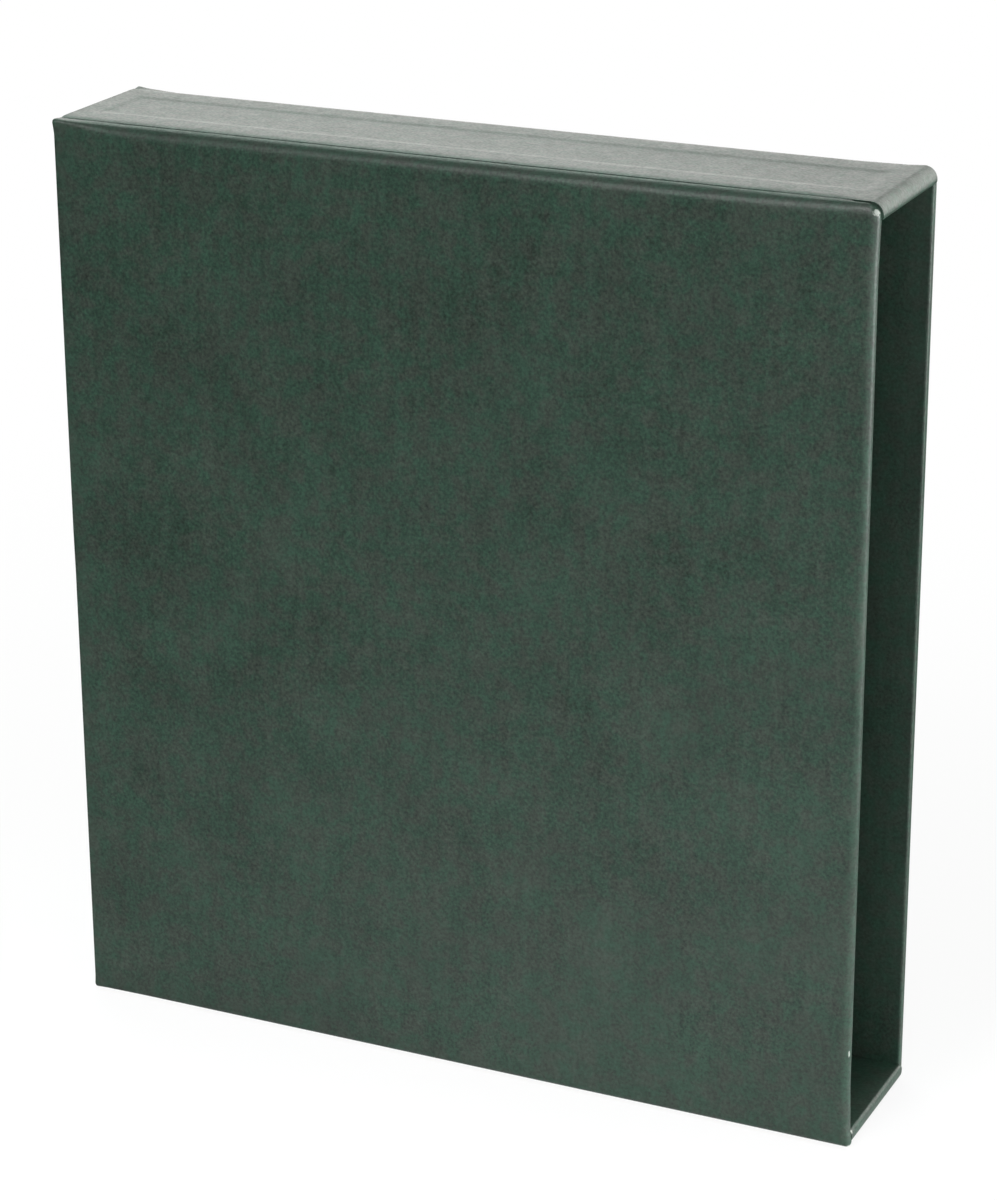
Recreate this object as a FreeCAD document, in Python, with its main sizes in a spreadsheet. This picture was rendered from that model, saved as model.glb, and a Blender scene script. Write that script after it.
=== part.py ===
# A slipcase for a ring binder: five grey boards glued into a case that is open on one side,
# a leatherette cover wrapped round front, spine and back, and a leatherette strip on head and foot.
# Frame: X is the width, with the closed spine at -X and the open mouth at +X. Y is the depth,
# with the front panel at -Y. Z is up, and the case stands on Z = 0, centred on the origin.
import FreeCAD, Part
import os

doc = FreeCAD.newDocument("slipcase")

# Driving dimensions, in millimetres
SIZES = (
    ("box_width", "300"),
    ("box_depth", "58.5"),
    ("box_height", "332"),
    ("skin", "0.5"),
    ("panel_board", "2.5"),
    ("end_board", "4"),
    ("lining", "0.3"),
    ("board_round", "2.1"),
    ("head_round", "5"),
    ("spine_round", "1.2"),
    ("lip_round", "0.8"),
    ("head_corner_round", "5.4"),
    ("foot_corner_round", "3.5"),
    ("nose_round", "4.4"),
    ("nose_lip_round", "1.4"),
    ("turn_in", "16.5"),
    ("spine_turn_in", "10.5"),
    ("mouth_band", "11"),
    ("panel_setback", "0.75"),
    ("mouth_turn_in", "26"),
    ("strip_turn_in", "20"),
    ("strip_margin", "4.3"),
    ("overrun", "5"),
    ("match_room", "0.001"),
)
sheet = doc.addObject("Spreadsheet::Sheet", "dims")
for row, (alias, number) in enumerate(SIZES, start=1):
    sheet.set(f"A{row}", alias)
    sheet.set(f"B{row}", number)
    sheet.setAlias(f"B{row}", alias)
doc.recompute()

# Places, as expressions on the sheet
SPINE = "-dims.box_width / 2"
MOUTH = "dims.box_width / 2"
FRONT = "-dims.box_depth / 2"
BACK = "dims.box_depth / 2"
TOP = "dims.box_height"
SKIN = "dims.skin"
OVER = "dims.overrun"
PAST_SPINE = f"{SPINE} - {OVER}"
PAST_MOUTH = f"{MOUTH} + {OVER}"
PANEL_MOUTH = f"{MOUTH} - dims.panel_setback"
PAST_SIDES = (f"{FRONT} - {OVER}", f"{BACK} + {OVER}")

# Distances inwards from an outer face
PANEL = "dims.skin + dims.panel_board"
PANEL_WALL = "2 * dims.skin + dims.panel_board"
END_OUT = "2 * dims.skin"
END_IN = "2 * dims.skin + dims.end_board"
END_WALL = "4 * dims.skin + dims.end_board"

# Outer rounds, limited by the wall that they share with the inner round
BOARD_ROUND = f"min(dims.board_round; {PANEL} - dims.lip_round - dims.match_room)"
NOSE_ROUND = f"min(dims.nose_round; {END_WALL} - dims.nose_lip_round - dims.match_room)"


def value(expression):
    """The number that an expression on the sheet gives now."""
    return float(sheet.evalExpression(expression))


def from_panel(side, near, far):
    """Y span between two distances inwards from the front or the back face."""
    if side == "front":
        return f"{FRONT} + {near}", f"{FRONT} + {far}"
    return f"{BACK} - ({far})", f"{BACK} - ({near})"


def from_end(end, near, far):
    """Z span between two distances inwards from the head or the foot."""
    if end == "head":
        return f"{TOP} - ({far})", f"{TOP} - ({near})"
    return near, far


def between_panels(inset):
    """Y span that stays a distance inwards from both panels' outer faces."""
    return f"{FRONT} + {inset}", f"{BACK} - ({inset})"


def between_ends(inset):
    """Z span that stays a distance inwards from head and foot."""
    return inset, f"{TOP} - ({inset})"


def bind(box, along_x, along_y, along_z):
    """Bind a box's three sizes and its corner to spans of expressions."""
    spans = (along_x, along_y, along_z)
    for size, axis, (low, high) in zip(("Length", "Width", "Height"), "xyz", spans):
        box.setExpression(size, f"({high}) - ({low})")
        box.setExpression(f"Placement.Base.{axis}", low)
    return box


def block(name, along_x, along_y, along_z):
    """A square block between three spans."""
    return bind(doc.addObject("Part::Box", name), along_x, along_y, along_z)


def body_of(name, along_x, along_y, along_z):
    """A body that starts as a square block between three spans."""
    body = doc.addObject("PartDesign::Body", name)
    bind(body.newObject("PartDesign::AdditiveBox", f"{name}_block"), along_x, along_y, along_z)
    return body


def edges_at(shape, **places):
    """Names of the edges that lie wholly at the given places."""
    room = value("dims.match_room")
    names = set()
    for number, edge in enumerate(shape.Edges, start=1):
        box = edge.BoundBox
        ends = {"x": (box.XMin, box.XMax), "y": (box.YMin, box.YMax), "z": (box.ZMin, box.ZMax)}
        gaps = [abs(end - value(place)) for axis, place in places.items() for end in ends[axis]]
        if max(gaps) < room:
            names.add(f"Edge{number}")
    return names


def soften(body, name, radius, names):
    """Round the named edges of a body's last feature."""
    base = body.Tip
    fillet = body.newObject("PartDesign::Fillet", name)
    fillet.Base = (base, sorted(names))
    fillet.setExpression("Radius", radius)
    doc.recompute()


def common(name, piece, form):
    """The share of a piece that lies inside a form."""
    result = doc.addObject("Part::Common", name)
    result.Base = piece
    result.Tool = form
    return result


def envelope(name, inset):
    """The case's outer form with its long head edges rounded, a distance inside the cover's surface."""
    front, back = between_panels(inset)
    high = f"{TOP} - ({SKIN} + {inset})"
    body = body_of(name, (PAST_SPINE, PAST_MOUTH), (front, back), (f"-{OVER}", high))
    doc.recompute()
    head_edges = edges_at(body.Shape, y=front, z=high) | edges_at(body.Shape, y=back, z=high)
    soften(body, f"{name}_head", f"dims.head_round - ({inset})", head_edges)
    return body


cover_envelope = envelope("cover_envelope", "0")
board_envelope = envelope("board_envelope", SKIN)


def panel(name, side, inset, thick_in):
    """A panel with rounded mouth corners and outer edges, a distance inside the cover's surface.

    Its mouth edge stands a little behind the noses of head and foot.
    """
    end_inset = f"{SKIN} + {inset}"
    along_x = (f"{SPINE} + {inset}", f"{PANEL_MOUTH} - ({inset})")
    along_y = from_panel(side, inset, thick_in)
    along_z = between_ends(end_inset)
    outer, inner = along_y if side == "front" else reversed(along_y)
    low, high = along_z
    spine, mouth = along_x
    body = body_of(name, along_x, along_y, along_z)
    doc.recompute()
    soften(body, f"{name}_head_corner", f"dims.head_corner_round - ({inset})",
           edges_at(body.Shape, x=mouth, z=high))
    soften(body, f"{name}_foot_corner", f"dims.foot_corner_round - ({inset})",
           edges_at(body.Shape, x=mouth, z=low))
    soften(body, f"{name}_lip", f"dims.lip_round - ({inset})",
           edges_at(body.Shape, x=mouth, y=inner))
    rim = edges_at(body.Shape, y=outer) - edges_at(body.Shape, y=outer, x=spine)
    soften(body, f"{name}_rim", f"{BOARD_ROUND} + {SKIN} - ({inset})", rim)
    return body


# Boards: the two panels run over the full height, and spine, head and foot sit between them
boards = {side: common(f"{side}_board", panel(f"{side}_board_form", side, SKIN, PANEL), board_envelope)
          for side in ("front", "back")}
spine_form = block("spine_board_form", (f"{SPINE} + {SKIN}", f"{SPINE} + {PANEL}"),
                   between_panels(PANEL), between_ends(END_OUT))
spine_board = common("spine_board", spine_form, board_envelope)


def cut(name, base, tools):
    """A piece with the tools cut away."""
    tool = tools[0]
    if len(tools) > 1:
        tool = doc.addObject("Part::MultiFuse", f"{name}_tools")
        tool.Shapes = tools
    result = doc.addObject("Part::Cut", name)
    result.Base = base
    result.Tool = tool
    return result


def fuse(name, pieces):
    """Pieces joined into one, without seams."""
    result = doc.addObject("Part::MultiFuse", name)
    result.Shapes = pieces
    result.Refine = True
    return result


def end_form(name, end, inset, spine, along_y):
    """A block for head or foot with a rounded mouth edge, a distance inside the strip's surface."""
    mouth = f"{MOUTH} - ({inset})"
    low, high = from_end(end, inset, f"{END_WALL} - ({inset})")
    outer, inner = (high, low) if end == "head" else (low, high)
    body = body_of(name, (spine, mouth), along_y, (low, high))
    doc.recompute()
    soften(body, f"{name}_nose", f"{NOSE_ROUND} - ({inset})",
           edges_at(body.Shape, x=mouth, z=outer))
    soften(body, f"{name}_nose_lip", f"dims.nose_lip_round - ({inset})",
           edges_at(body.Shape, x=mouth, z=inner))
    return body


def mouth_band(end):
    """The leatherette band folded round an end board's mouth edge, under the strip."""
    name = f"{end}_mouth_band"
    form = end_form(f"{name}_form", end, SKIN, f"{MOUTH} - dims.strip_turn_in", between_panels(PANEL))
    trim = block(f"{name}_trim", (SPINE, f"{MOUTH} - dims.mouth_band"), PAST_SIDES,
                 from_end(end, "0", END_IN))
    return cut(name, common(f"{name}_inside", form, cover_envelope), [end_boards[end], trim])


def end_strip(end):
    """The leatherette strip over head or foot, sunk between the turn-ins that it covers."""
    name = f"{end}_strip"
    form = end_form(f"{name}_form", end, "0", f"{SPINE} + dims.spine_round",
                    between_panels("dims.strip_margin"))
    inside = end_form(f"{name}_inside", end, SKIN, PAST_SPINE, PAST_SIDES)
    trim = block(f"{name}_trim", (PAST_SPINE, f"{MOUTH} - dims.strip_turn_in"), PAST_SIDES,
                 from_end(end, f"{END_WALL} - {SKIN}", f"{END_WALL} + {OVER}"))
    sunk = block(f"{name}_sunk", (f"{SPINE} + dims.spine_turn_in + {SKIN}",
                                  f"{MOUTH} - (dims.mouth_band + {SKIN})"),
                 between_panels(f"dims.turn_in + {SKIN}"), from_end(end, f"-{OVER}", SKIN))
    field = block(f"{name}_field", (f"{SPINE} + dims.spine_turn_in", f"{MOUTH} - dims.mouth_band"),
                  between_panels("dims.turn_in"), from_end(end, SKIN, END_OUT))
    return fuse(name, [cut(f"{name}_frame", form, [inside, trim, sunk]), field])


def end_board(end):
    """The board of head or foot, between the two panels."""
    form = end_form(f"{end}_board_form", end, END_OUT, f"{SPINE} + {PANEL}", between_panels(PANEL))
    return common(f"{end}_board", form, board_envelope)


end_boards = {end: end_board(end) for end in ("head", "foot")}
mouth_bands = [mouth_band(end) for end in ("head", "foot")]
end_strips = [end_strip(end) for end in ("head", "foot")]


def panel_skin(side):
    """The cover round one panel board, folded in over its mouth edge."""
    form = common(f"{side}_cover", panel(f"{side}_cover_form", side, "0", PANEL_WALL), cover_envelope)
    inside = from_panel(side, PANEL, f"{PANEL_WALL} + {OVER}")
    trims = [block(f"{side}_inside_trim", (PAST_SPINE, f"{MOUTH} - dims.mouth_turn_in"), inside,
                   between_ends(f"-{OVER}"))]
    for end in ("head", "foot"):
        trims.append(block(f"{side}_{end}_trim", (PAST_SPINE, PAST_MOUTH), inside,
                           from_end(end, f"-{OVER}", END_WALL)))
    return cut(f"{side}_skin", form, [boards[side]] + trims)


def turn_in_frame(end):
    """The cover's turn-ins on head or foot, along the two panels and the spine."""
    sheet_form = block(f"{end}_turn_in_sheet", (SPINE, f"{MOUTH} - dims.mouth_band"),
                       between_panels(f"{SKIN} + {BOARD_ROUND}"), from_end(end, SKIN, END_IN))
    field = block(f"{end}_turn_in_field", (f"{SPINE} + dims.spine_turn_in", MOUTH),
                  between_panels("dims.turn_in"), from_end(end, "0", END_IN))
    inside = block(f"{end}_turn_in_inside", (PAST_SPINE, PAST_MOUTH), PAST_SIDES,
                   from_end(end, END_OUT, f"{END_IN} + {OVER}"))
    inside = common(f"{end}_turn_in_boards", inside, board_envelope)
    return cut(f"{end}_turn_in", common(f"{end}_turn_in_form", sheet_form, cover_envelope), [inside, field])


spine_form = block("spine_sheet_form", (SPINE, f"{SPINE} + {SKIN}"), between_panels(PANEL),
                   between_ends(SKIN))
spine_sheet = common("spine_sheet", spine_form, cover_envelope)
cover_sheet = fuse("cover_sheet", [panel_skin("front"), panel_skin("back"), spine_sheet,
                                   turn_in_frame("head"), turn_in_frame("foot")])
doc.recompute()
main_cover = doc.addObject("PartDesign::Body", "main_cover")
main_cover.BaseFeature = cover_sheet
doc.recompute()
soften(main_cover, "main_cover_folds", "dims.spine_round", edges_at(main_cover.Shape, x=SPINE))

# Linings: paper on the boards inside, up to the folded-in leatherette
linings = [block(f"{side}_lining", (f"{SPINE} + {PANEL}", f"{MOUTH} - dims.mouth_turn_in"),
                 from_panel(side, PANEL, f"{PANEL} + dims.lining"), between_ends(END_IN))
           for side in ("front", "back")]
lined = f"{PANEL} + dims.lining"
linings.append(block("spine_lining", (f"{SPINE} + {PANEL}", f"{SPINE} + {lined}"),
                     between_panels(lined), between_ends(END_IN)))
linings += [block(f"{end}_lining", (f"{SPINE} + {lined}", f"{MOUTH} - dims.strip_turn_in"),
                  between_panels(lined), from_end(end, END_IN, f"{END_IN} + dims.lining"))
            for end in ("head", "foot")]

doc.recompute()
nodes = [*boards.values(), spine_board, *end_boards.values(), *mouth_bands, *end_strips,
         main_cover, *linings]
for item in doc.Objects:
    if "Invalid" in item.State or "Error" in item.State:
        raise RuntimeError(f"{item.Name} failed: {item.State}")
for node in nodes:
    if node.Shape.isNull() or not node.Shape.isValid() or len(node.Shape.Solids) != 1:
        raise RuntimeError(f"{node.Label} is not one valid solid")

os.makedirs("parts", exist_ok=True)
for node in nodes:
    node.Shape.exportStep(f"parts/{node.Label}.step")
    print(f"{node.Label}: {node.Shape.Volume:.1f} mm3")
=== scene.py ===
# %% [markdown]
# # A slipcase for a ring binder
# The case is grey board wrapped in dark green leatherette. It is closed at the spine, at head and foot,
# and open along one narrow side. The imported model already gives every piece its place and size, so this
# script loads it as a fixed frame and dresses it: detailed leatherette, finishes for every surface,
# light and a camera.

# %% Load the frame
import math
import bmesh
import bpy
from mathutils import Matrix, Vector, noise


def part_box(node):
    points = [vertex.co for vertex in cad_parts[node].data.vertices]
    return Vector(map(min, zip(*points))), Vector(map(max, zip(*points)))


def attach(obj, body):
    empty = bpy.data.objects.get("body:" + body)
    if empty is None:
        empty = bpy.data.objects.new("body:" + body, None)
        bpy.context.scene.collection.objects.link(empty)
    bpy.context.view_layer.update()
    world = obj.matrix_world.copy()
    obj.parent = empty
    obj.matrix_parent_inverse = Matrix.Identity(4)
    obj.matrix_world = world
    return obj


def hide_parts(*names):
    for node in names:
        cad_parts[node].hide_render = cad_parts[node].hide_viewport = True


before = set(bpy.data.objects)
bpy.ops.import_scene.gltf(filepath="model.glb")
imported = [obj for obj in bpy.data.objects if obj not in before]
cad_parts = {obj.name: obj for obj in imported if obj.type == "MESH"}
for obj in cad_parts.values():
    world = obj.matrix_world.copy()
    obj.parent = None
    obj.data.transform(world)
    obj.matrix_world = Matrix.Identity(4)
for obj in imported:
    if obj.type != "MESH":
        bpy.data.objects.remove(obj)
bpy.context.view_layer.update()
MM = 0.001
print("nodes:", ", ".join(sorted(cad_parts)))

# %% [markdown]
# ## Helpers for node trees
# Every finish below is a small node tree. A few helpers keep the trees readable: they add a node and
# set its inputs by name, do arithmetic, mix colours, make a node group and place it, and start a
# material.

# %% Node helpers
MIX_COLOUR_INPUTS, MIX_COLOUR_OUTPUT = (0, 6, 7), 2


def fill(tree, socket, given):
    """Link a socket to another node's socket, or set it to a value."""
    if isinstance(given, bpy.types.NodeSocket):
        tree.links.new(given, socket)
    else:
        socket.default_value = given


def add(tree, kind, **inputs):
    """A new node; its inputs are given by name, or as i0, i1 and so on by number."""
    node = tree.nodes.new(kind)
    for name, given in inputs.items():
        key = int(name[1:]) if name[1:].isdigit() else name.replace("_", " ")
        fill(tree, node.inputs[key], given)
    return node


def maths(tree, operation, first, second):
    """One step of arithmetic on values of a node tree."""
    node = add(tree, "ShaderNodeMath", i0=first, i1=second)
    node.operation = operation
    return node.outputs[0]


def blend(tree, share, first, second):
    """A colour between two colours."""
    node = tree.nodes.new("ShaderNodeMix")
    node.data_type = "RGBA"
    for number, given in zip(MIX_COLOUR_INPUTS, (share, first, second)):
        fill(tree, node.inputs[number], given)
    return node.outputs[MIX_COLOUR_OUTPUT]


def group(name, inputs, outputs):
    """A shader node group with named sockets; returns its tree, its input node and its output node."""
    tree = bpy.data.node_groups.new(name, "ShaderNodeTree")
    for label, kind, start in inputs:
        tree.interface.new_socket(label, in_out="INPUT", socket_type=kind).default_value = start
    for label, kind in outputs:
        tree.interface.new_socket(label, in_out="OUTPUT", socket_type=kind)
    return tree, tree.nodes.new("NodeGroupInput"), tree.nodes.new("NodeGroupOutput")


def place(tree, shared, **inputs):
    """A shared node group placed in a material."""
    node = tree.nodes.new("ShaderNodeGroup")
    node.node_tree = shared
    for name, given in inputs.items():
        fill(tree, node.inputs[name.replace("_", " ")], given)
    return node


def finish(name, **settings):
    """A new material with a Principled surface; returns material, tree, surface and object coordinates."""
    material = bpy.data.materials.new(name)
    material.use_nodes = True
    tree = material.node_tree
    surface = tree.nodes["Principled BSDF"]
    for label, value in settings.items():
        surface.inputs[label.replace("_", " ")].default_value = value
    return material, tree, surface, tree.nodes.new("ShaderNodeTexCoord").outputs["Object"]


print("node helpers ready")

# %% [markdown]
# ## Leatherette
# Leatherette is paper or cloth with a coloured skin, pressed with a fine grain. The dye is mottled:
# green and a brownish green in blotches of a few millimetres, made uneven by fine flecks, by faint
# streaks along the height and by slow clouds. The grain is small pebbles about a millimetre across.
# Both could be pictures, but noise in object space has no seams and fits every piece, so each is a node
# group that all leatherette finishes share.

# %% Mottled dye
STREAK_SHARE, FLECK_SHARE, CLOUD_SHARE = 0.16, 0.66, 0.18
dye, dye_in, dye_out = group(
    "mottled dye",
    [("Where", "NodeSocketVector", (0, 0, 0)), ("Green", "NodeSocketColor", (0.02, 0.06, 0.04, 1)),
     ("Brown", "NodeSocketColor", (0.03, 0.03, 0.03, 1))],
    [("Colour", "NodeSocketColor")])
where_in = dye_in.outputs["Where"]
blotch = add(dye, "ShaderNodeTexNoise", Vector=where_in, Scale=190.0, Detail=3.0, Roughness=0.6)
brown_share = add(dye, "ShaderNodeMapRange", Value=blotch.outputs[0], From_Min=0.40, From_Max=0.60)
drawn_out = add(dye, "ShaderNodeMapping", Vector=where_in, Scale=(1, 1, 0.15))
streak = add(dye, "ShaderNodeTexNoise", Vector=drawn_out.outputs[0], Scale=300.0, Detail=2.0)
fleck = add(dye, "ShaderNodeTexNoise", Vector=where_in, Scale=900.0, Detail=3.0, Roughness=0.6)
cloud = add(dye, "ShaderNodeTexNoise", Vector=where_in, Scale=30.0, Detail=3.0)
uneven = maths(dye, "MULTIPLY", streak.outputs[0], STREAK_SHARE)
uneven = maths(dye, "ADD", uneven, maths(dye, "MULTIPLY", fleck.outputs[0], FLECK_SHARE))
uneven = maths(dye, "ADD", uneven, maths(dye, "MULTIPLY", cloud.outputs[0], CLOUD_SHARE))
strength = add(dye, "ShaderNodeMapRange", Value=uneven, From_Min=0.3, From_Max=0.7,
               To_Min=0.36, To_Max=1.64)
tint = blend(dye, brown_share.outputs[0], dye_in.outputs["Green"], dye_in.outputs["Brown"])
shaded = add(dye, "ShaderNodeVectorMath", i0=tint, i1=strength.outputs[0])
shaded.operation = "MULTIPLY"
dye.links.new(shaded.outputs[0], dye_out.inputs["Colour"])
print("group:", dye.name)

# %% Pressed grain
PORE_SHARE = 0.35
grain, grain_in, grain_out = group(
    "pressed grain",
    [("Where", "NodeSocketVector", (0, 0, 0)), ("Pebbles", "NodeSocketFloat", 900.0)],
    [("Height", "NodeSocketFloat")])
pebbles = add(grain, "ShaderNodeTexVoronoi", Vector=grain_in.outputs["Where"],
              Scale=grain_in.outputs["Pebbles"], Randomness=1.0)
pores = add(grain, "ShaderNodeTexNoise", Vector=grain_in.outputs["Where"], Scale=2600.0, Detail=1.0)
rise = add(grain, "ShaderNodeTexNoise", Vector=grain_in.outputs["Where"], Scale=240.0, Detail=2.0)
pore_height = maths(grain, "MULTIPLY", pores.outputs[0], PORE_SHARE)
height = maths(grain, "SUBTRACT", pore_height, pebbles.outputs["Distance"])
height = maths(grain, "ADD", height, rise.outputs[0])
grain.links.new(height, grain_out.inputs["Height"])
print("group:", grain.name)

# %% [markdown]
# ## Rubbed spots
# Where the skin has worn through on a corner or an edge, the pale backing shows. Each spot is a small
# ball around a point, with a ragged edge from noise, so it stays on the corner from every side.

# %% Rubbed spot
RAGGED = 2.0
rubbed, rubbed_in, rubbed_out = group(
    "rubbed spot",
    [("Where", "NodeSocketVector", (0, 0, 0)), ("Centre", "NodeSocketVector", (0, 0, 0)),
     ("Reach", "NodeSocketVector", (0.002, 0.002, 0.002))],
    [("Mask", "NodeSocketFloat")])
offset = add(rubbed, "ShaderNodeVectorMath", i0=rubbed_in.outputs["Where"], i1=rubbed_in.outputs["Centre"])
offset.operation = "SUBTRACT"
shares = add(rubbed, "ShaderNodeVectorMath", i0=offset.outputs[0], i1=rubbed_in.outputs["Reach"])
shares.operation = "DIVIDE"
length = add(rubbed, "ShaderNodeVectorMath", i0=shares.outputs[0])
length.operation = "LENGTH"
ragged = add(rubbed, "ShaderNodeTexNoise", Vector=rubbed_in.outputs["Where"], Scale=900.0, Detail=2.0)
reach = maths(rubbed, "ADD", length.outputs["Value"], maths(rubbed, "MULTIPLY", ragged.outputs[0], RAGGED))
mask = add(rubbed, "ShaderNodeMapRange", Value=reach, From_Min=2.1, From_Max=1.7)
rubbed.links.new(mask.outputs[0], rubbed_out.inputs["Mask"])
print("group:", rubbed.name)

# %% Leatherette finish
GREEN = (0.0165, 0.0453, 0.0293, 1)
BROWN = (0.0258, 0.0410, 0.0303, 1)
BACKING = (0.26, 0.285, 0.26, 1)
ROUGH_HOLLOWS, ROUGH_TOPS = 0.50, 0.37


def leatherette(name, spots):
    """Mottled, grained leatherette, rubbed pale at the given spots (centre and reach in metres)."""
    material, tree, surface, where = finish(name, Specular_IOR_Level=0.5)
    tint = place(tree, dye, Where=where, Green=GREEN, Brown=BROWN)
    colour = tint.outputs["Colour"]
    for centre, reach in spots:
        worn = place(tree, rubbed, Where=where, Centre=centre, Reach=reach)
        colour = blend(tree, worn.outputs["Mask"], colour, BACKING)
    tree.links.new(colour, surface.inputs["Base Color"])
    pressed = place(tree, grain, Where=where)
    rough = add(tree, "ShaderNodeMapRange", Value=pressed.outputs["Height"], From_Min=-0.3, From_Max=0.7,
                To_Min=ROUGH_HOLLOWS, To_Max=ROUGH_TOPS)
    tree.links.new(rough.outputs[0], surface.inputs["Roughness"])
    bump = add(tree, "ShaderNodeBump", Strength=0.35, Distance=0.0001, Height=pressed.outputs["Height"])
    tree.links.new(bump.outputs[0], surface.inputs["Normal"])
    return material


TORN_JOINT = ((0.1494, -0.0260, 0.0052), (0.0006, 0.0007, 0.0010))
RUBBED_AT = [
    # centre and reach
    ((0.1479, -0.0277, 0.3290), (0.0015, 0.0012, 0.0010)),
    ((0.1486, -0.0279, 0.0359), (0.0004, 0.0004, 0.0010)),
    ((0.1492, -0.0279, 0.0008), (0.0006, 0.0008, 0.0006)),
    ((0.1494, 0.0258, 0.0051), (0.0004, 0.0004, 0.0008)),
    TORN_JOINT,
]
cover_leather = leatherette("cover leatherette", RUBBED_AT)
strip_leather = leatherette("strip leatherette", [TORN_JOINT])
print("finishes:", cover_leather.name, "and", strip_leather.name)

# %% [markdown]
# ## The cover
# The cover is one sheet: it runs round front, spine and back, folds in over the mouth edges of both
# panels and turns in over head and foot. It could be drawn face by face, but it is a box that has lost
# its mouth, so it starts as a cube. Loops are cut where the sheet bends, the faces that the sheet lacks
# are taken out, the mouth edges are extruded inwards, and one function then rolls every square edge
# into the round that it has.

# %% Square form of the cover
WALL = 3.5 * MM
TURN_IN, SPINE_TURN_IN, MOUTH_BAND = 16.5 * MM, 10.5 * MM, 11 * MM
SKIN = 0.5 * MM
low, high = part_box("main_cover")
strip_low, strip_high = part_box("head_strip")
BAND_AT = strip_high.x - MOUTH_BAND
MOUTH_FOLD = high.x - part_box("front_lining")[1].x
# loops near the edges, in millimetres from the face that they run along
EDGE_LOOPS = [0.2, 0.5, 0.9, 1.4, 2.0, 2.6, 3.3, 4.1, 5.0, 6.5]
PANEL_LOOPS = EDGE_LOOPS + [3.1, 3.5, 10.0, 16.5]
MOUTH_LOOPS = [0.15, 0.4, 0.8, 1.3, 1.9, 2.6, 3.4, 4.4, 5.4, 7.5]
SPINE_LOOPS = [0.2, 0.5, 0.85, 1.2, 1.9, 2.8, 4.0, 5.5, 7.5, 14, 19, 26]
SPINE_STRETCH, END_STRETCH = SPINE_LOOPS[-1] * MM, EDGE_LOOPS[-1] * MM
LENGTH_STEPS, HEIGHT_STEPS = 16, 20
CUT_NEARNESS = 1e-7


def cut_loops(bm, axis, places):
    """Cut edge loops right through a mesh at places along one axis."""
    normal = Vector([1.0 if axis == number else 0.0 for number in range(3)])
    for at in places:
        everything = bm.verts[:] + bm.edges[:] + bm.faces[:]
        bmesh.ops.bisect_plane(bm, geom=everything, dist=CUT_NEARNESS, plane_co=normal * at,
                               plane_no=normal)


def steps(start, end, count):
    """Places that divide a stretch evenly, without its ends."""
    return [start + (end - start) * number / count for number in range(1, count)]


cover_bm = bmesh.new()
middle = Matrix.Translation((low + high) / 2)
bmesh.ops.create_cube(cover_bm, size=1.0, matrix=middle @ Matrix.Diagonal((*(high - low), 1.0)))
cut_loops(cover_bm, 0, [low.x + k * MM for k in SPINE_LOOPS] + [low.x + SPINE_TURN_IN])
cut_loops(cover_bm, 0, [high.x - k * MM for k in MOUTH_LOOPS] + [BAND_AT])
cut_loops(cover_bm, 0, steps(low.x + SPINE_STRETCH, BAND_AT, LENGTH_STEPS))
for turn in (-1, 1):
    edge = turn * high.y
    cut_loops(cover_bm, 1, [edge - turn * k * MM for k in PANEL_LOOPS])
cut_loops(cover_bm, 2, [high.z - k * MM for k in EDGE_LOOPS] + [low.z + k * MM for k in EDGE_LOOPS])
cut_loops(cover_bm, 2, steps(low.z + END_STRETCH, high.z - END_STRETCH, HEIGHT_STEPS))
print("square form:", len(cover_bm.faces), "faces")

# %% Take out what the sheet lacks
TOLERANCE = 0.01 * MM
UNDER_STRIP = 5 * MM


def is_bare(face):
    """True where the sheet leaves the box open: the mouth, and head and foot inside the turn-ins."""
    centre = face.calc_center_median()
    depth = high.y - abs(centre.y)
    if face.normal.x > 0.5:
        return depth > WALL
    if abs(face.normal.z) > 0.5:
        inside_border = depth > TURN_IN and centre.x > low.x + SPINE_TURN_IN
        return inside_border or (depth > WALL and centre.x > BAND_AT)
    return False


def is_inner(point):
    """True on the inner faces of the panels."""
    return abs(high.y - WALL - abs(point.y)) < TOLERANCE


def is_covered(face):
    """True for the part of a fold that head or foot covers."""
    centre = face.calc_center_median()
    from_end = min(high.z - centre.z, centre.z - low.z)
    return is_inner(centre) and centre.x < BAND_AT and from_end < UNDER_STRIP


bare = [face for face in cover_bm.faces if is_bare(face)]
bmesh.ops.delete(cover_bm, geom=bare, context="FACES")
print("faces taken out:", len(bare))

# %% Fold the sheet into the mouth
inner_edges = [edge for edge in cover_bm.edges
               if all(abs(v.co.x - high.x) < TOLERANCE and is_inner(v.co) for v in edge.verts)]
reached = 0.0
for fold in [k * MM for k in MOUTH_LOOPS] + [high.x - BAND_AT, MOUTH_FOLD]:
    grown = bmesh.ops.extrude_edge_only(cover_bm, edges=inner_edges)["geom"]
    grown_verts = [item for item in grown if isinstance(item, bmesh.types.BMVert)]
    inner_edges = [item for item in grown if isinstance(item, bmesh.types.BMEdge)]
    inner_edges = [edge for edge in inner_edges if all(v in grown_verts for v in edge.verts)]
    bmesh.ops.translate(cover_bm, verts=grown_verts, vec=(reached - fold, 0, 0))
    reached = fold
covered = [face for face in cover_bm.faces if is_covered(face)]
bmesh.ops.delete(cover_bm, geom=covered, context="FACES")
bmesh.ops.remove_doubles(cover_bm, verts=cover_bm.verts[:], dist=TOLERANCE)
bmesh.ops.recalc_face_normals(cover_bm, faces=cover_bm.faces[:])
print("sheet before rolling:", len(cover_bm.faces), "faces")

# %% [markdown]
# ## Rolling the edges
# At the head the sheet rolls over with a radius of 5 mm, which shrinks to 1 mm at the spine, where the
# sheet is folded. At the foot and the mouth the rounds are tighter, and the front's mouth edge is
# softer than the back's, stands a little behind it and flares out again at the foot. A vertex near an
# edge has a distance to each of the faces that meet there. Put as shares of the rounds and brought to
# length 1, those distances land the vertex on the round, and the same step makes edges and corners.

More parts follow.
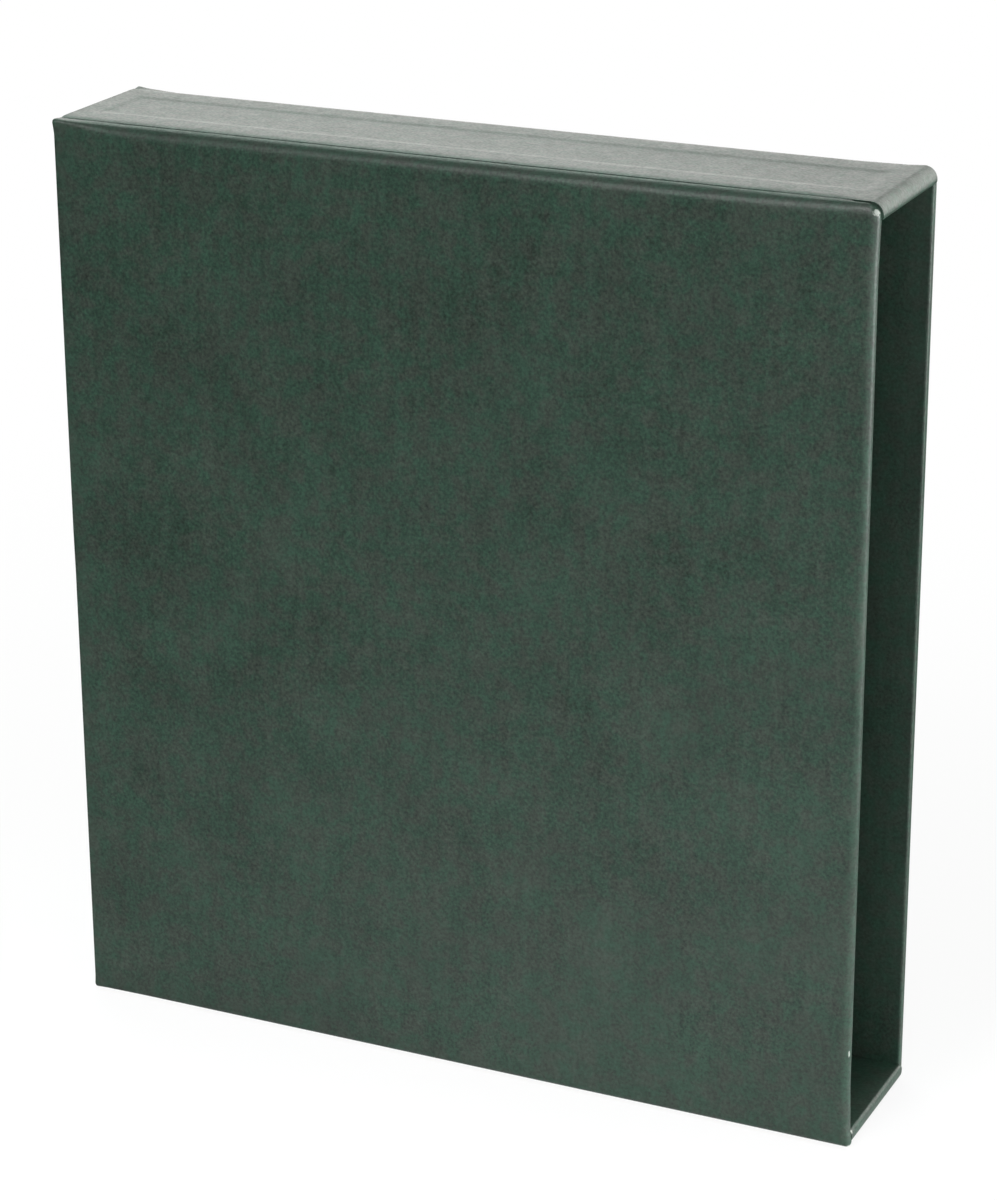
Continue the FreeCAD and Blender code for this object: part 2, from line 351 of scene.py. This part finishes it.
# %% Roll the edges
HEAD_ROUND = (5.0 * MM, 5.0 * MM)
HEAD_ROUND_AT_MOUTH = (5.0 * MM, 2.6 * MM)
MOUTH_STRETCH = 24 * MM
FOOT_ROUND = (2.3 * MM, 2.3 * MM)
FRONT_MOUTH_ROUND, BACK_MOUTH_ROUND = (3.2 * MM, 2.6 * MM), (1.6 * MM, 1.2 * MM)
FRONT_SETBACK, SETBACK_REACH = 0.35 * MM, 12 * MM
FOOT_FLARE, FLARE_REACH = 0.8 * MM, 9 * MM
FOLD_ROUND = 1.0 * MM
FOOT_FOLD_ROUND = 1.8 * MM
LIP_ROUND = 0.8 * MM
FOOT_DROP, FOOT_DROP_DEPTH, FOOT_DROP_REACH = 0.4 * MM, 4.2 * MM, 10 * MM
HEAD_CORNER, FOOT_CORNER = 4.2 * MM, 1.7 * MM


def ease(share):
    """A smooth step from 0 to 1."""
    share = min(max(share, 0.0), 1.0)
    return share * share * (3 - 2 * share)


def between(first, second, share):
    """Values between two pairs of values."""
    return [a + (b - a) * share for a, b in zip(first, second)]


def onto_round(distances, rounds):
    """Bring distances from the faces of a square edge or corner onto its round."""
    shares = [max(1 - d / r, 0.0) for d, r in zip(distances, rounds)]
    length = math.hypot(*shares)
    if sum(share > 0 for share in shares) < 2 or length == 0:
        return distances
    return [r * (1 - share / length) if share > 0 else d
            for d, r, share in zip(distances, rounds, shares)]


def rounds_at(side, at_head, corner, from_spine, from_mouth, from_end):
    """The round of the nearest edge as two radii: across its face and into the depth of the case."""
    end_round = FOOT_ROUND
    if at_head:
        end_round = between(HEAD_ROUND, HEAD_ROUND_AT_MOUTH, ease(1.5 - from_mouth / MOUTH_STRETCH))
    turn = 0.0 if from_end < from_mouth else 1.0
    if from_mouth < corner and from_end < corner:
        turn = ease(math.atan2(corner - from_mouth, corner - from_end) / (math.pi / 2))
    rounds = between(end_round, FRONT_MOUTH_ROUND if side < 0 else BACK_MOUTH_ROUND, turn)
    fold_round = FOLD_ROUND if at_head else FOOT_FOLD_ROUND
    return between((fold_round, fold_round), rounds, ease(from_spine / SPINE_STRETCH))


def front_shift(at_head, from_mouth, from_end):
    """How far the front panel's mouth edge moves along the case: back, but out at the foot."""
    near_mouth = ease(1 - from_mouth / SETBACK_REACH)
    back = FRONT_SETBACK * near_mouth * ease(from_end / SETBACK_REACH - 0.5)
    out = 0.0 if at_head else FOOT_FLARE * near_mouth * ease(1 - from_end / FLARE_REACH)
    return out - back


def rolled(point):
    """Where a point of the square sheet lies on the rolled one."""
    side = 1 if point.y > 0 else -1
    depth = high.y - abs(point.y)
    from_spine, from_mouth = point.x - low.x, high.x - point.x
    at_head = high.z - point.z < point.z - low.z
    from_end = high.z - point.z if at_head else point.z - low.z
    corner = HEAD_CORNER if at_head else FOOT_CORNER
    rounds = rounds_at(side, at_head, corner, from_spine, from_mouth, from_end)
    inset = min(from_mouth, from_end)
    folded_in = abs(depth - WALL) < TOLERANCE < inset
    on_lip = point.x > BAND_AT + TOLERANCE and depth > WALL - LIP_ROUND - TOLERANCE
    if folded_in or on_lip:
        inset, above_lip = onto_round((inset, WALL - depth), (LIP_ROUND, LIP_ROUND))
        depth = WALL - above_lip
    else:
        inset, depth, from_spine = onto_round((inset, depth, from_spine), (*rounds, FOLD_ROUND))
    x, end = low.x + from_spine, from_end
    if from_mouth < corner and from_end < corner:
        reach = math.hypot(corner - from_mouth, corner - from_end)
        ring = (corner - inset) / reach if reach > 0 else 0.0
        x = high.x - corner + (corner - from_mouth) * ring
        end = corner - (corner - from_end) * ring
    elif from_mouth < from_end:
        x = high.x - inset
    else:
        end = inset
    if side < 0:
        x += front_shift(at_head, from_mouth, from_end)
    if not at_head:
        end -= FOOT_DROP * ease(2 - 2 * depth / FOOT_DROP_DEPTH) * ease(2 - end / FOOT_DROP_REACH)
    return Vector((x, side * (high.y - depth), high.z - end if at_head else low.z + end))


for vert in cover_bm.verts:
    vert.co = rolled(vert.co)
bmesh.ops.recalc_face_normals(cover_bm, faces=cover_bm.faces[:])
print("rolled width, mm:", round((max(v.co.x for v in cover_bm.verts) - low.x) / MM, 2))

# %% [markdown]
# ## Folds and thickness
# Where front, spine and head meet, the turned-in leatherette is gathered under itself and stands up as
# a small lump. The vertices near each corner of the spine are pushed out along their normals. The big
# faces are never quite flat either, so slow noise moves them by a few hundredths of a millimetre. The
# sheet then gets its thickness inwards, which closes it into a solid.

# %% Folds, waves and thickness
FOLD_LUMP, FOOT_LUMP_SHARE, FOLD_REACH = 0.5 * MM, 0.4, 3.2 * MM
BOARD_WAVE, WAVES_PER_METRE = 0.05 * MM, 11
SHARP_ANGLE = math.radians(50)


def swell(point):
    """How far the sheet stands out at a point."""
    out = BOARD_WAVE * noise.noise(point * WAVES_PER_METRE)
    for side in (-1, 1):
        for end, lump in ((high.z, FOLD_LUMP), (low.z, FOOT_LUMP_SHARE * FOLD_LUMP)):
            corner = Vector((low.x, side * high.y, end))
            out += lump * math.exp(-((point - corner).length / FOLD_REACH) ** 2)
    return out


moves = [(vert, vert.normal * swell(vert.co)) for vert in cover_bm.verts]
for vert, move in moves:
    vert.co += move
bmesh.ops.solidify(cover_bm, geom=cover_bm.faces[:], thickness=SKIN)


def piece(name, bm, material, body="root"):
    """A finished mesh as an object that rides on a body; sharp only where a sheet is cut."""
    mesh = bpy.data.meshes.new(name)
    bm.to_mesh(mesh)
    bm.free()
    mesh.shade_smooth()
    mesh.set_sharp_from_angle(angle=SHARP_ANGLE)
    mesh.materials.append(material)
    made = bpy.data.objects.new(name, mesh)
    bpy.context.scene.collection.objects.link(made)
    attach(made, body)
    return made


cover = piece("cover_sheet", cover_bm, cover_leather)
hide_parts("main_cover")
print("cover:", len(cover.data.polygons), "faces")

# %% [markdown]
# ## The strips on head and foot
# A strip of leatherette hides the turn-ins on the head and rolls over the mouth edge to the inside, and
# the foot has the same. The turn-ins show through it as a sunken field with soft borders, its long
# edges are pressed down, and its end is wider at the mouth, where it meets the panels. It could be a
# curve with a profile, but a flat grid keeps control of the borders: loops are cut into it, one
# function gives every point its dip, and another bends the far end round the mouth.

# %% Strip form
NOSE, NOSE_LIP, FOLD_END = 4.4 * MM, 1.4 * MM, 20 * MM
SINK, SINK_WIDTH = 0.26 * MM, 3.8 * MM
EDGE_WAVE, WAVES_ALONG, WAVES_ACROSS = 0.10 * MM, 130, 40
PRESSED, PRESSED_WIDTH = 0.40 * MM, 2.0 * MM
NOSE_WIDENING, WIDENING_REACH = 1.06, 10 * MM
HEAD_NOSE_POWER, FOOT_NOSE_POWER = 2.0, 2.8
FLAT = strip_high.x - NOSE - strip_low.x
ROLL, DROP = NOSE * math.pi / 2, strip_high.z - strip_low.z - NOSE - NOSE_LIP
LIP = NOSE_LIP * math.pi / 2
LENGTH = FLAT + ROLL + DROP + LIP + FOLD_END - NOSE_LIP
# loops: margins round the soft borders, distances from the long edges in millimetres, and counts
RAMP_MARGIN, FIELD_MARGIN, MIDDLE = 0.4 * MM, 2.2 * MM, 8 * MM
STRIP_EDGE_LOOPS = (0.12, 0.3, 0.6, 1.2, 3.0, 6.0)
RAMP_STEPS, SPINE_STEPS, FIELD_STEPS, ROLL_STEPS, LIP_STEPS, MIDDLE_STEPS = 10, 5, 60, 14, 7, 5


def dip(x, y):
    """How deep the sunken field and the pressed edges lie at a point of the head."""
    across = ease((high.y - TURN_IN + SINK_WIDTH / 2 - abs(y)) / SINK_WIDTH)
    past_spine = ease((x - low.x - SPINE_TURN_IN + SINK_WIDTH / 2) / SINK_WIDTH)
    before_mouth = ease((BAND_AT + SINK_WIDTH / 2 - x) / SINK_WIDTH)
    at_edge = max((abs(y) - strip_high.y) / PRESSED_WIDTH + 1, 0.0) ** 2
    before_nose = ease((strip_high.x - NOSE - x) / WIDENING_REACH)
    return SINK * across * past_spine * before_mouth + PRESSED * at_edge * before_nose


def bent(along, y, nose_power):
    """Where a point of the flat strip lies once it is bent round the mouth."""
    x, z = strip_low.x + along, strip_high.z
    past = along - FLAT
    depth = dip(x, y)
    y *= 1 + (NOSE_WIDENING - 1) * ease(past / WIDENING_REACH + 1)
    y += EDGE_WAVE * (y / strip_high.y) * noise.noise(Vector((along * WAVES_ALONG, y * WAVES_ACROSS, 0)))
    if past <= 0:
        return Vector((x, y, z - depth))
    if past < ROLL:
        sine, cosine = math.sin(past / NOSE), math.cos(past / NOSE)
        reach = NOSE / (sine ** nose_power + cosine ** nose_power) ** (1 / nose_power)
        return Vector((strip_high.x - NOSE + reach * sine, y, z - NOSE + reach * cosine))
    past -= ROLL
    if past < DROP:
        return Vector((strip_high.x, y, z - NOSE - past))
    past -= DROP
    if past < LIP:
        angle = past / NOSE_LIP
        return Vector((strip_high.x - NOSE_LIP * (1 - math.cos(angle)), y,
                       strip_low.z + NOSE_LIP * (1 - math.sin(angle))))
    return Vector((strip_high.x - NOSE_LIP - (past - LIP), y, strip_low.z))


def strip_mesh(nose_power):
    """A strip in the head's place as a bmesh; a power above 2 makes its nose squarer than a round."""
    bm = bmesh.new()
    half = strip_high.y
    sheet = Matrix.Translation((LENGTH / 2, 0, 0)) @ Matrix.Diagonal((LENGTH, 2 * half, 1, 1))
    bmesh.ops.create_grid(bm, x_segments=1, y_segments=1, size=0.5, matrix=sheet)
    to_field = low.x + SPINE_TURN_IN - strip_low.x
    to_band = BAND_AT - strip_low.x
    ramp = steps(-SINK_WIDTH / 2 - RAMP_MARGIN, SINK_WIDTH / 2 + RAMP_MARGIN, RAMP_STEPS)
    cut_loops(bm, 0, [to_field + k for k in ramp] + [to_band + k for k in ramp])
    cut_loops(bm, 0, steps(0, to_field - FIELD_MARGIN, SPINE_STEPS))
    cut_loops(bm, 0, steps(to_field + FIELD_MARGIN, to_band - FIELD_MARGIN, FIELD_STEPS))
    cut_loops(bm, 0, steps(FLAT, FLAT + ROLL, ROLL_STEPS) + [FLAT, FLAT + ROLL])
    lip_start, lip_end = FLAT + ROLL + DROP, FLAT + ROLL + DROP + LIP
    cut_loops(bm, 0, [lip_start] + steps(lip_start, lip_end, LIP_STEPS) + [lip_end])
    border = high.y - TURN_IN
    for turn in (-1, 1):
        cut_loops(bm, 1, [turn * (border + k) for k in ramp])
        cut_loops(bm, 1, [turn * (half - k * MM) for k in STRIP_EDGE_LOOPS])
    cut_loops(bm, 1, steps(-MIDDLE, MIDDLE, MIDDLE_STEPS))
    for vert in bm.verts:
        vert.co = bent(vert.co.x, vert.co.y, nose_power)
    bmesh.ops.recalc_face_normals(bm, faces=bm.faces[:])
    return bm


print("flat strip, mm:", round(LENGTH / MM, 1), "by", round(2 * strip_high.y / MM, 1))

# %% Both strips
def strip(name, node, at_foot):
    """A strip as a piece; the foot's is made in the head's place and mirrored down."""
    bm = strip_mesh(FOOT_NOSE_POWER if at_foot else HEAD_NOSE_POWER)
    if at_foot:
        bmesh.ops.scale(bm, verts=bm.verts[:], vec=(1, 1, -1))
        bmesh.ops.translate(bm, verts=bm.verts[:], vec=(0, 0, strip_high.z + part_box(node)[0].z))
        bmesh.ops.reverse_faces(bm, faces=bm.faces[:])
    bmesh.ops.solidify(bm, geom=bm.faces[:], thickness=SKIN)
    made = piece(name, bm, strip_leather)
    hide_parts(node)
    print(name, "has", len(made.data.polygons), "faces")


strip("head_cover_strip", "head_strip", at_foot=False)
strip("foot_cover_strip", "foot_strip", at_foot=True)

# %% [markdown]
# ## Board and paper
# Under the leatherette the case is grey board, pressed from waste paper with pale and dark fibres in
# it. The inside is lined with dull dark green paper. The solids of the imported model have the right
# shape for both, so they stay and only get a finish.

# %% Board and lining finishes
FIBRE_SHARE, PAPER_CLOUD_SHARE = 0.7, 0.3
BOARD_PALE, BOARD_DARK = (0.30, 0.29, 0.26, 1), (0.18, 0.17, 0.15, 1)
LINING_GREEN, LINING_BROWN = (0.012, 0.026, 0.018, 1), (0.018, 0.024, 0.018, 1)


def fibre_paper(name, ground, fibre, fibre_scale, roughness):
    """Dull paper or board with short fibres of a second shade."""
    material, tree, surface, where = finish(name, Roughness=roughness)
    stretched = add(tree, "ShaderNodeMapping", Vector=where, Scale=(1, 1, 0.3))
    fibres = add(tree, "ShaderNodeTexNoise", Vector=stretched.outputs[0], Scale=fibre_scale, Detail=4.0,
                 Roughness=0.7)
    clouds = add(tree, "ShaderNodeTexNoise", Vector=where, Scale=30.0, Detail=3.0)
    share = maths(tree, "ADD", maths(tree, "MULTIPLY", fibres.outputs[0], FIBRE_SHARE),
                  maths(tree, "MULTIPLY", clouds.outputs[0], PAPER_CLOUD_SHARE))
    spread = add(tree, "ShaderNodeMapRange", Value=share, From_Min=0.35, From_Max=0.65)
    tree.links.new(blend(tree, spread.outputs[0], ground, fibre), surface.inputs["Base Color"])
    bump = add(tree, "ShaderNodeBump", Strength=0.25, Distance=0.0001, Height=fibres.outputs[0])
    tree.links.new(bump.outputs[0], surface.inputs["Normal"])
    return material


board_paper = fibre_paper("grey board", BOARD_PALE, BOARD_DARK, fibre_scale=900.0, roughness=0.9)
lining_paper = fibre_paper("lining paper", LINING_GREEN, LINING_BROWN, fibre_scale=1500.0, roughness=0.75)
finishes = {"board": board_paper, "lining": lining_paper}
for name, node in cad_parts.items():
    node.data.materials.clear()
    node.data.materials.append(finishes.get(name.rsplit("_", 1)[-1], strip_leather))
print("finished nodes:", len(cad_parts))

# %% [markdown]
# ## Studio
# The case stands on a pale floor that fills the picture. To the camera the floor is mostly white paper,
# and the rest of it is lit, so it keeps the soft shadow of the case. In reflections the floor glows in a
# painted pool of light round the case, though no lamp is there, so the faces show a painted reflection
# that makes them lighter towards the bottom. The world is a faint white horizon that darkens overhead.
# Soft panels do the rest: those behind give the sheen on the head, the one in front lights the face and
# draws the lighter line under the head's rounded edge, and the one at the mouth's side lights the edges
# of the mouth.

# %% Floor
# The last of these values is the centre of the painted pool of light that reflections see on the floor.
FLOOR_SIZE, FLOOR_WHITE, GLOW_POOL_CENTRE = 4.0, 0.88, (0.08, -0.08, 0)
bm = bmesh.new()
bmesh.ops.create_grid(bm, x_segments=1, y_segments=1, size=FLOOR_SIZE)
floor_mesh = bpy.data.meshes.new("floor")
bm.to_mesh(floor_mesh)
bm.free()
floor = bpy.data.objects.new("floor", floor_mesh)
bpy.context.scene.collection.objects.link(floor)
floor_paint, tree, surface, where = finish("floor paper", Base_Color=(0.85, 0.85, 0.85, 1), Roughness=0.9,
                                           Specular_IOR_Level=0.2)
rays = tree.nodes.new("ShaderNodeLightPath")
# Painted pool of light: reflections see the floor glow round a point near the case. It is strongest next
# to the case and fades within about 0.36 m, though no lamp is there.
away = add(tree, "ShaderNodeVectorMath", i0=where, i1=GLOW_POOL_CENTRE)
away.operation = "DISTANCE"
painted_glow_pool = add(tree, "ShaderNodeMapRange", Value=away.outputs["Value"], From_Min=0.08, From_Max=0.36,
           To_Min=0.65, To_Max=0.06)
white_and_glow_pool = maths(tree, "MAXIMUM", rays.outputs["Is Camera Ray"], painted_glow_pool.outputs[0])
# To the camera this emission is the white paper. To reflections it is the painted glow of the pool.
paper = add(tree, "ShaderNodeEmission", Color=(1, 1, 1, 1), Strength=white_and_glow_pool)
seen = maths(tree, "MAXIMUM", rays.outputs["Is Camera Ray"], rays.outputs["Is Glossy Ray"])
seen = maths(tree, "MAXIMUM", seen, rays.outputs["Is Transmission Ray"])
share = add(tree, "ShaderNodeMapRange", Value=away.outputs["Value"], From_Min=0.25, From_Max=0.9,
            To_Min=FLOOR_WHITE, To_Max=1.0)
mixed = add(tree, "ShaderNodeMixShader", i0=maths(tree, "MULTIPLY", seen, share.outputs[0]),
            i1=surface.outputs[0], i2=paper.outputs[0])
tree.links.new(mixed.outputs[0], tree.nodes["Material Output"].inputs["Surface"])
floor_paint.cycles.emission_sampling = "NONE"
floor_mesh.materials.append(floor_paint)
print("floor, m:", 2 * FLOOR_SIZE)

# %% World
HORIZON, CEILING, WORLD_LIGHT = (1, 1, 1, 1), (0.12, 0.12, 0.12, 1), 0.08
world = bpy.data.worlds.new("studio")
bpy.context.scene.world = world
world.use_nodes = True
tree = world.node_tree
direction = tree.nodes.new("ShaderNodeTexCoord").outputs["Generated"]
height = add(tree, "ShaderNodeSeparateXYZ", Vector=direction).outputs["Z"]
climb = add(tree, "ShaderNodeMapRange", Value=height, From_Min=0.15, From_Max=0.6)
climb.interpolation_type = "SMOOTHSTEP"
light = blend(tree, climb.outputs[0], HORIZON, CEILING)
backdrop = tree.nodes.new("ShaderNodeLightPath").outputs["Is Camera Ray"]
tree.links.new(blend(tree, backdrop, light, HORIZON), tree.nodes["Background"].inputs["Color"])
tree.links.new(maths(tree, "MAXIMUM", backdrop, WORLD_LIGHT), tree.nodes["Background"].inputs["Strength"])
bpy.context.scene.view_settings.view_transform = "Standard"
print("world ready")

# %% Lamps
WHITE, WARM, COOL = (1, 1, 1), (1, 0.985, 0.955), (0.85, 1, 0.92)
PANELS = [
    # name, place, aim, size, spread in degrees, power in watts, colour
    ("rear panel", (-0.8, 1.8, 0.75), (0, 0, 0.3), (1.8, 0.9), 180, 13.8, WARM),
    ("rear right panel", (0.72, 1.77, 0.6), (0.15, 0, 0.3), (1.5, 1.4), 180, 23.0, WARM),
    ("high rear panel", (-0.7, 0.85, 1.4), (0, 0, 0.3), (1.0, 0.5), 180, 9.9, COOL),
    ("front panel", (-0.45, -2.4, 2.2), (0, 0, 0.3), (0.8, 0.9), 180, 49.0, WHITE),
    ("camera panel", (0.55, -1.88, 0.45), (0.1, 0, 0.17), (0.5, 0.7), 180, 3.7, WHITE),
    ("right panel", (1.05, -0.95, 0.35), (0.1, 0, 0.17), (0.6, 0.5), 180, 4.8, WHITE),
    ("mouth panel", (2.4, 0.2, 0.2), (0.15, 0, 0.15), (1.2, 0.7), 180, 104.0, WHITE),
    ("floor panel", (0.05, -0.36, 1.3), (0.05, -0.33, 0), (0.9, 0.12), 38, 2.3, WHITE),
]


def panel_lamp(name, place_at, aim, size, spread, power, colour):
    """A soft panel that points at a spot and stays out of the picture itself."""
    lamp = bpy.data.lights.new(name, "AREA")
    lamp.shape = "RECTANGLE"
    lamp.size, lamp.size_y = size
    lamp.spread = math.radians(spread)
    lamp.energy = power
    lamp.color = colour
    holder = bpy.data.objects.new(name, lamp)
    holder.location = place_at
    holder.rotation_euler = (Vector(aim) - Vector(place_at)).to_track_quat("-Z", "Y").to_euler()
    holder.visible_camera = False
    bpy.context.scene.collection.objects.link(holder)


for row in PANELS:
    panel_lamp(*row)
print("panels:", len(PANELS))

# %% [markdown]
# ## Camera
# The photo was taken from the front's right and from above, through a long lens. A camera could be
# placed by eye, but these values were solved from the outline and the corners of the case, so the
# render lies on the photo.

# %% Camera
AZIMUTH, ELEVATION, ROLL_ANGLE = math.radians(24.985), math.radians(20.411), math.radians(-0.253)
DISTANCE, TARGET = 1.2328, (0.00481, 0, 0.16910)
LENS, SENSOR_HEIGHT = 105.84, 36.0


def camera_from(azimuth, elevation, roll, distance, target):
    """A camera that looks at a target; azimuth 0 looks along +Y."""
    away = Vector((math.sin(azimuth) * math.cos(elevation), -math.cos(azimuth) * math.cos(elevation),
                   math.sin(elevation)))
    right = (-away).cross(Vector((0, 0, 1))).normalized()
    up = right.cross(-away)
    rolled_right = math.cos(roll) * right + math.sin(roll) * up
    rolled_up = math.cos(roll) * up - math.sin(roll) * right
    data = bpy.data.cameras.new("camera")
    data.sensor_fit = "VERTICAL"
    data.sensor_height = SENSOR_HEIGHT
    data.lens = LENS
    camera = bpy.data.objects.new("camera", data)
    turn = Matrix((rolled_right, rolled_up, away)).transposed().to_4x4()
    camera.matrix_world = Matrix.Translation(Vector(target) + away * distance) @ turn
    bpy.context.scene.collection.objects.link(camera)
    bpy.context.scene.camera = camera
    return camera


camera = camera_from(AZIMUTH, ELEVATION, ROLL_ANGLE, DISTANCE, TARGET)
print("camera at:", [round(value, 3) for value in camera.matrix_world.translation])
